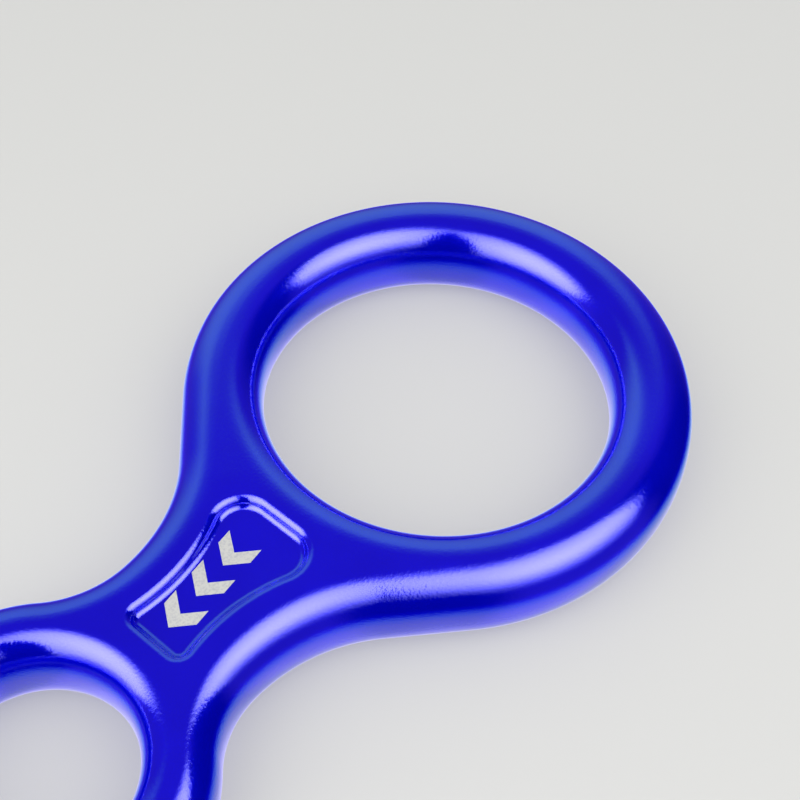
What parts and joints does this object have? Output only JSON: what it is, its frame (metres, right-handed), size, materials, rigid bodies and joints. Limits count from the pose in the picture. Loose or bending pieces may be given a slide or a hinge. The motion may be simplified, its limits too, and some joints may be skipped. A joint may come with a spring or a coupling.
{
  "type": "figure-8 rope descender",
  "caption": "Forged aluminium figure-8 descender with a large rope eye, a smaller carabiner eye and a sunk panel on the neck.",
  "frame": {"origin": "centre of the rope eye at mid-thickness", "axes": "+X from the rope eye to the carabiner eye, +Z along both eyes' axes, out of the face with the printed mark"},
  "size_m": [0.1341, 0.073, 0.013],
  "materials": {
    "anodised_aluminium": "polished, blue anodised",
    "pale_print": "matt pale grey print"
  },
  "bodies": {
    "root": {"descender_body": "anodised_aluminium", "printed_mark": "pale_print"}
  },
  "joints": []
}
